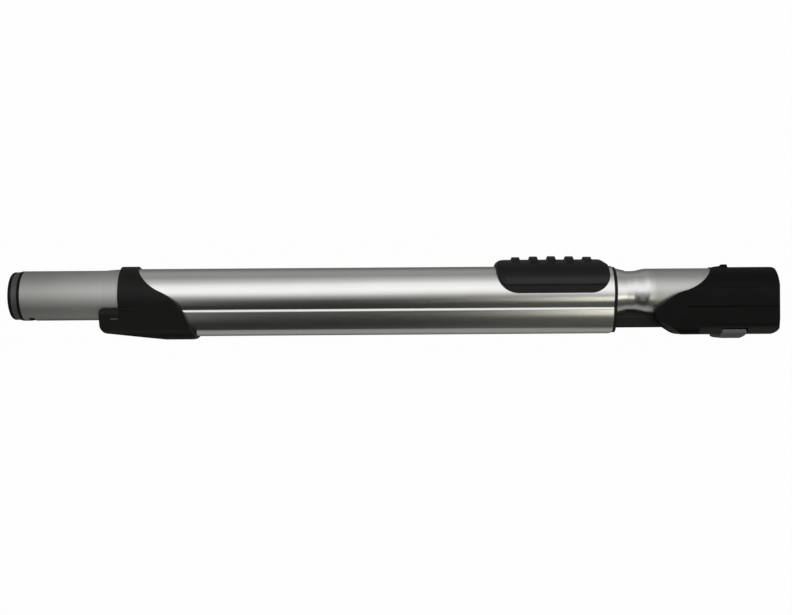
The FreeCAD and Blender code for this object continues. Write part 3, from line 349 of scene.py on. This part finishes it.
# The cross recess is painted dark near the screw's axis, a painted shade.
near_axis = 1 - (off_along * off_along + off_aside * off_aside > SHADE_REACH ** 2)
sunk_shade = ((screw_zinc.part("Y") - low.y) / RECESS_SHADE).clipped() * near_axis
shade = (0.5 * fine + 0.5) * (1 - sunk_shade)
screw_zinc.set(
    Base_Color=screw_zinc.tone(shade, (0.04, 0.04, 0.04), (0.56, 0.56, 0.57)),
    Metallic=1.0,
    Roughness=0.25 + 0.2 * fine,
    Normal=screw_zinc.eased(0.12 * MM),
)
for name in ("housing_screw_near", "housing_screw_far"):
    low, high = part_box(name)
    head = (high.x - low.x) / 2
    length = high.y - low.y
    turned = bmesh.new()
    # A grid of nine squares loses its four corners, and what is left becomes the cross.
    bmesh.ops.create_grid(turned, x_segments=3, y_segments=3, size=1)
    centres = [(face, face.calc_center_median()) for face in turned.faces]
    spare = [face for face, centre in centres if min(abs(centre.x), abs(centre.y)) > 0.3]
    bmesh.ops.delete(turned, geom=spare, context="FACES")
    for axis in (0, 1):
        for vert in turned.verts:
            reach = RECESS_ARM if abs(vert.co[axis]) > 0.5 else RECESS_HALF
            vert.co[axis] = math.copysign(reach, vert.co[axis])
    cross = turned.faces[:]
    made = bmesh.ops.extrude_face_region(turned, geom=cross)["geom"]
    floor_verts = [item for item in made if isinstance(item, bmesh.types.BMVert)]
    bmesh.ops.delete(turned, geom=cross, context="FACES")
    bmesh.ops.scale(turned, verts=floor_verts, vec=(RECESS_TAPER, RECESS_TAPER, 1))
    bmesh.ops.translate(turned, verts=floor_verts, vec=(0, 0, RECESS_DEPTH))
    rim = bmesh.ops.create_circle(turned, segments=HEAD_SIDES, radius=head - HEAD_ROUND)["verts"]
    ring = [edge for edge in turned.edges if edge.verts[0] in rim]
    mouth = [edge for edge in turned.edges if edge.is_boundary and edge not in ring]
    bmesh.ops.triangle_fill(turned, use_beauty=True, edges=ring + mouth)
    steps = []
    for turn in (22.5, 45, 67.5, 90):
        rounding = math.radians(turn)
        inset = HEAD_ROUND * (1 - math.sin(rounding))
        steps.append((head - inset, HEAD_ROUND * (1 - math.cos(rounding))))
    shank = head * SHANK_SHARE
    steps += [(head, HEAD_HEIGHT), (shank, HEAD_HEIGHT)]
    steps += [(shank, length - TIP_LENGTH), (shank / 2, length)]
    radius, depth = head - HEAD_ROUND, 0
    for new_radius, new_depth in steps:
        made = bmesh.ops.extrude_edge_only(turned, edges=ring)["geom"]
        verts = [item for item in made if isinstance(item, bmesh.types.BMVert)]
        ring = [item for item in made if isinstance(item, bmesh.types.BMEdge)]
        bmesh.ops.scale(turned, verts=verts, vec=(new_radius / radius, new_radius / radius, 1))
        bmesh.ops.translate(turned, verts=verts, vec=(0, 0, new_depth - depth))
        radius, depth = new_radius, new_depth
    bmesh.ops.holes_fill(turned, edges=ring, sides=HEAD_SIDES)
    upright = Matrix.Rotation(-math.pi / 2, 3, "X")
    foot = ((low.x + high.x) / 2, low.y, (low.z + high.z) / 2)
    bmesh.ops.rotate(turned, verts=turned.verts, cent=(0, 0, 0), matrix=upright)
    bmesh.ops.translate(turned, verts=turned.verts, vec=foot)
    bmesh.ops.recalc_face_normals(turned, faces=turned.faces)
    screw = finished(name + "_turned", turned, screw_zinc)
    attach(screw, "lower")
    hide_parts(name)

# Insert, bushes and lock pieces inside. White mouldings of a slippery plastic
# that the metal tubes butt and slide on.
slide_white = Recipe("slide_white")
fine = slide_white.grain(1200)
slide_white.set(
    Base_Color=slide_white.tone(fine, (0.66, 0.66, 0.64), (0.74, 0.74, 0.72)),
    Roughness=0.42 + 0.1 * fine,
    Normal=slide_white.eased(0.3 * MM),
)
dress(slide_white, "end_insert", "tail_bush", "lock_carriage", "lock_shoe")

# Feed leads. Two wires in black sheaths, laid along the casing's floor from the plug pins
# to the wiper block.
lead_sheath = Recipe("lead_sheath")
fine = lead_sheath.grain(700)
lead_sheath.set(
    Base_Color=lead_sheath.tone(fine, (0.02, 0.02, 0.02), (0.035, 0.035, 0.035)),
    Roughness=0.45 + 0.1 * fine,
)
dress(lead_sheath, "feed_lead_near", "feed_lead_far")

# Casing. One keyhole-shaped aluminium extrusion with a bright satin finish,
# drawn lengthwise, so its faint grain runs along the wand.
casing_satin = Recipe("casing_satin")
drawn = casing_satin.grain(2200, (0.012, 1, 1), 3.0)
cloud = casing_satin.grain(30)
casing_satin.set(
    Base_Color=casing_satin.tone(cloud, (0.74, 0.74, 0.73), (0.80, 0.80, 0.79)),
    Metallic=1.0,
    Roughness=0.17 + 0.06 * drawn,
    Normal=casing_satin.bump(drawn, 0.004 * MM, casing_satin.eased(0.4 * MM)),
)
dress(casing_satin, "outer_casing")

# Mouth cone and sliding tube. Chromed steel, polished where the tube slides through
# the cone and brushed dull on the belled end that the socket grips.
POLISH_END = 484 * MM
DULL_START = 491 * MM
tube_chrome = Recipe("tube_chrome")
drawn = tube_chrome.grain(1600, (0.02, 1, 1))
cloud = tube_chrome.grain(30)
dull = ((tube_chrome.part("X") - POLISH_END) / (DULL_START - POLISH_END)).clipped()
shade = (0.75 * dull + 0.25 * cloud).clipped()
tube_chrome.set(
    Base_Color=tube_chrome.tone(shade, (0.74, 0.74, 0.73), (0.52, 0.52, 0.505)),
    Metallic=1.0,
    Roughness=0.21 + 0.06 * drawn + 0.21 * dull,
    Normal=tube_chrome.bump(drawn, 0.002 * MM, tube_chrome.eased(0.2 * MM)),
)
dress(tube_chrome, "inner_tube", "mouth_cone")

# Feed rail. A black moulded spine under the tube; it slides with the tube, carries the
# bus bars and shows one thin line along its flank.
RAIL_SHADES = (0.0040, 0.0040, 0.0038), (0.012, 0.012, 0.0115)
RAIL_LINE = ((100 * MM, 530 * MM, -19.2 * MM, 0.7 * MM, 0.04 * MM, 1.2),)
rail_black = moulded("rail_black", *RAIL_SHADES, 0.17, 0.36, 0.5 * MM, RAIL_LINE)
dress(rail_black, "feed_rail")

# Handle socket. Two black moulded halves that clasp the tube's belled end; the halves
# part along a groove, and a short moulded line and a lower one run along the flanks.
SOCKET_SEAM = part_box("socket_upper")[0][1]
SOCKET_LINES = (
    (512 * MM, 583 * MM, SOCKET_SEAM, 0.7 * MM, -0.25 * MM, -1.0),
    (535 * MM, 567 * MM, 2.7 * MM, 0.6 * MM, -0.18 * MM, -0.8),
    (535 * MM, 583 * MM, -25.7 * MM, 0.8 * MM, -0.2 * MM, -0.8),
    # A broad pale band along the underside, painted light standing in for the floor's bounce.
    (522 * MM, 583 * MM, -32 * MM, 5 * MM, 0, 4.0),
)
SOCKET_SHADES = (0.0026, 0.0025, 0.0025), (0.010, 0.0098, 0.0098)
socket_black = moulded("socket_black", *SOCKET_SHADES, 0.085, 0.40, 0.7 * MM, SOCKET_LINES)
dress(socket_black, "socket_upper", "socket_lower")

# Grip. A glossy black moulded cover over a plain skirt; it slides towards the nozzle end
# to free the tube and shows a pale band, a painted highlight, along its flank.
GRIP_SHADES = (0.0040, 0.0040, 0.0039), (0.014, 0.014, 0.0138)
# The pale band along the cover's flank is a painted highlight.
GRIP_HIGHLIGHT = ((376 * MM, 456 * MM, 9 * MM, 3.2 * MM, 0, 1.3),)
grip_black = moulded("grip_black", *GRIP_SHADES, 0.22, 0.26, 1.0 * MM, GRIP_HIGHLIGHT)
dress(grip_black, "grip_cover")
dress(collar_black, "grip_skirt")

# Release button. A grey moulded rocker under the socket that swings on a plain steel pin
# held in the socket's lower half.
button_grey = Recipe("button_grey")
spark = button_grey.grain(2200)
rounded = button_grey.eased(0.8 * MM)
button_grey.set(
    Base_Color=button_grey.tone(spark, (0.085, 0.085, 0.088), (0.115, 0.115, 0.118)),
    Roughness=0.40 + 0.12 * spark,
    Normal=button_grey.bump(spark, 0.02 * MM, rounded),
)
dress(button_grey, "release_button")

fastener_steel = Recipe("fastener_steel")
fine = fastener_steel.grain(1500)
fastener_steel.set(
    Base_Color=fastener_steel.tone(fine, (0.42, 0.42, 0.43), (0.56, 0.56, 0.57)),
    Metallic=1.0,
    Roughness=0.25 + 0.2 * fine,
    Normal=fastener_steel.eased(0.2 * MM),
)
dress(fastener_steel, "button_pivot_pin")

# Springs. Coils of drawn steel wire with closed ends; two push the grip's carriage home
# and one holds the button out.
WIRE_HALF = 0.35 * MM
SPRING_EASE = 0.25 * MM
CLOSED_PITCH = 2.1 * WIRE_HALF
WIRE_SIDES = 12
TURN_STEPS = 28
spring_wire = Recipe("spring_wire")
drawn = spring_wire.grain(1100, detail=3.0)
spring_wire.set(
    Base_Color=spring_wire.tone(drawn, (0.30, 0.30, 0.31), (0.46, 0.46, 0.47)),
    Metallic=1.0,
    Roughness=0.26 + 0.2 * drawn,
)


def wound(node, body, turns, axis):
    """Wind a spring in the room of its CAD node."""
    low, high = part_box(node)
    middle = (low + high) / 2
    along = Vector(axis)
    outward = Vector((along.y, along.x, 0))
    opened = ((high - low).dot(along) - 2 * WIRE_HALF - 2 * CLOSED_PITCH) / (turns - 2)
    start = middle + outward * ((high.z - low.z) / 2 - WIRE_HALF - SPRING_EASE)
    start -= along * ((high - low).dot(along) / 2 - WIRE_HALF)
    winding = bmesh.new()
    bmesh.ops.create_circle(winding, segments=WIRE_SIDES, radius=WIRE_HALF)
    bmesh.ops.translate(winding, verts=winding.verts, vec=start)
    end = winding.verts[:] + winding.edges[:]
    for pitch, count in ((CLOSED_PITCH, 1), (opened, turns - 2), (CLOSED_PITCH, 1)):
        made = bmesh.ops.spin(
            winding, geom=end, cent=middle, axis=along, dvec=along * (pitch / TURN_STEPS),
            angle=math.tau * count, steps=TURN_STEPS * count,
        )
        end = made["geom_last"]
    for face in winding.faces:
        face.smooth = True
    rims = [edge for edge in winding.edges if edge.is_boundary]
    bmesh.ops.holes_fill(winding, edges=rims, sides=WIRE_SIDES)
    bmesh.ops.recalc_face_normals(winding, faces=winding.faces)
    spring = finished(node + "_coil", winding, spring_wire)
    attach(spring, body)
    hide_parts(node)
    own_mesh(spring)


wound("lock_spring_near", "lower", 9, (1, 0, 0))
wound("lock_spring_far", "lower", 9, (1, 0, 0))
wound("button_spring", "upper", 6, (0, 1, 0))

# Studio. A pale floor under the wand and a tent that is bright on the grip side and
# dim on the other; the floor shows white to the camera and keeps the wand's shadow.
FLOOR_HALF = 4.0
FLOOR_MIDDLE = 290 * MM
STRIP_EDGE = 96 * MM
STRIP_FADE = 60 * MM
floor_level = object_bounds()[0][2]
sweep = bmesh.new()
bmesh.ops.create_grid(sweep, x_segments=1, y_segments=1, size=FLOOR_HALF)
bmesh.ops.translate(sweep, verts=sweep.verts, vec=(FLOOR_MIDDLE, 0, floor_level))
# The floor is darker in a strip along the wand, a painted shadow, so that little light comes up from
# it.
floor_white = Recipe("floor_white")
camera_ray = floor_white.node("ShaderNodeLightPath", output="Is Camera Ray")
glossy_ray = floor_white.node("ShaderNodeLightPath", output="Is Glossy Ray")
through_ray = floor_white.node("ShaderNodeLightPath", output="Is Transmission Ray")
aside = floor_white.part("Y")
near = ((STRIP_EDGE - aside.joined("ABSOLUTE", aside, 0)) / STRIP_FADE).clipped()
floor_white.set(
    Base_Color=floor_white.tone(near, (0.42, 0.42, 0.415), (0.16, 0.16, 0.158)),
    Roughness=0.9,
)
glow = floor_white.node("ShaderNodeEmission", {}, {"Color": (1, 1, 1, 1), "Strength": 1.0})
plain = Wire(floor_white, floor_white.shader.outputs[0])
share = 0.985 * camera_ray + 0.05 * glossy_ray + 0.9 * through_ray
blended = floor_white.node("ShaderNodeMixShader", {}, {0: share, 1: plain, 2: glow})
floor_white.tree.links.new(blended.socket, floor_white.tree.nodes["Material Output"].inputs["Surface"])
floor = finished("floor", sweep, floor_white)

# Each band of the tent has its angle from straight up to the grip side, its level and tint.
TENT_PEAK = 1.3
WARM = (1.0, 1.0, 0.9)
PLAIN = (1.0, 1.0, 1.0)
TENT = (
    (-92, 0.35, PLAIN), (-79, 0.27, PLAIN), (-66, 0.022, WARM), (-26, 0.028, WARM), (-9, 0.40, PLAIN),
    (4, 0.95, PLAIN), (20, 1.2, PLAIN), (43, 1.08, PLAIN), (62, 0.62, PLAIN), (86, 0.32, PLAIN),
)
tent = bpy.data.worlds.new("tent")
bpy.context.scene.world = tent
tent_light = Recipe("tent", tent)
aim = tent_light.node("ShaderNodeTexCoord", output="Generated")
along = tent_light.node("ShaderNodeSeparateXYZ", {}, {0: aim}, "X")
across = tent_light.node("ShaderNodeSeparateXYZ", {}, {0: aim}, "Y")
upward = tent_light.node("ShaderNodeSeparateXYZ", {}, {0: aim}, "Z")
TENT_SLANT = 30 / 360
TENT_DROP = 11 / 360
SLANT_MIDDLE = 0.07
HANDLE_START = 0.12
HANDLE_FADE = 0.08
tilt = across.joined("ARCTAN2", across, upward) / math.tau
handle_side = ((along - HANDLE_START) / HANDLE_FADE).clipped()
slant = TENT_SLANT * (along - SLANT_MIDDLE)
lean = tilt - slant * (1 - handle_side) + TENT_DROP * handle_side
stops = []
for angle, level, tint in TENT:
    stops.append(((angle + 180) / 360, [share * level / TENT_PEAK for share in tint]))
glow = tent_light.node("ShaderNodeValToRGB", {"stops": stops}, {"Fac": lean + 0.5})

# Three cards in the tent's dim side: a faint one and a cream one over the handle end
# and a grey one over the nozzle end.
for middle, reach, span, colour in (
    (-46, 30, ((along - 0.02) / 0.10).clipped(), (0.068, 0.068, 0.060, 1)),
    (-30, 12, ((along - 0.14) / 0.03).clipped(), (1.25, 1.22, 1.07, 1)),
    (-26, 28, ((-0.15 - along) / 0.12).clipped(), (0.24, 0.24, 0.23, 1)),
):
    off_card = (tilt * 360 - middle) / reach
    in_band = (1.3 - 1.3 * off_card * off_card).clipped()
    sockets = {0: in_band * span, 6: glow, 7: colour}
    glow = tent_light.node("ShaderNodeMix", {"data_type": "RGBA"}, sockets, 2)
tent_light.set(Color=glow, Strength=TENT_PEAK)
backdrop = tent_light.node("ShaderNodeBackground", {}, {"Color": (1, 1, 1, 1), "Strength": 1.0})
camera_ray = tent_light.node("ShaderNodeLightPath", output="Is Camera Ray")
lit = Wire(tent_light, tent_light.shader.outputs[0])
blended = tent_light.node("ShaderNodeMixShader", {}, {0: camera_ray, 1: lit, 2: backdrop})
tent_light.tree.links.new(blended.socket, tent_light.tree.nodes["World Output"].inputs["Surface"])

# Camera. It looks straight down on the wand, which lies on its flank, with the small
# roll that the photo's slope across the frame asks for.
camera = bpy.data.cameras.new("camera")
camera.lens = 53.86
camera.sensor_width = 36
viewer = bpy.data.objects.new("camera", camera)
bpy.context.scene.collection.objects.link(viewer)
viewer.location = (0.2934, -0.0108, 0.912)
viewer.rotation_euler = (0, 0, math.radians(-0.40))
bpy.context.scene.camera = viewer
bpy.context.scene.view_settings.view_transform = "Standard"
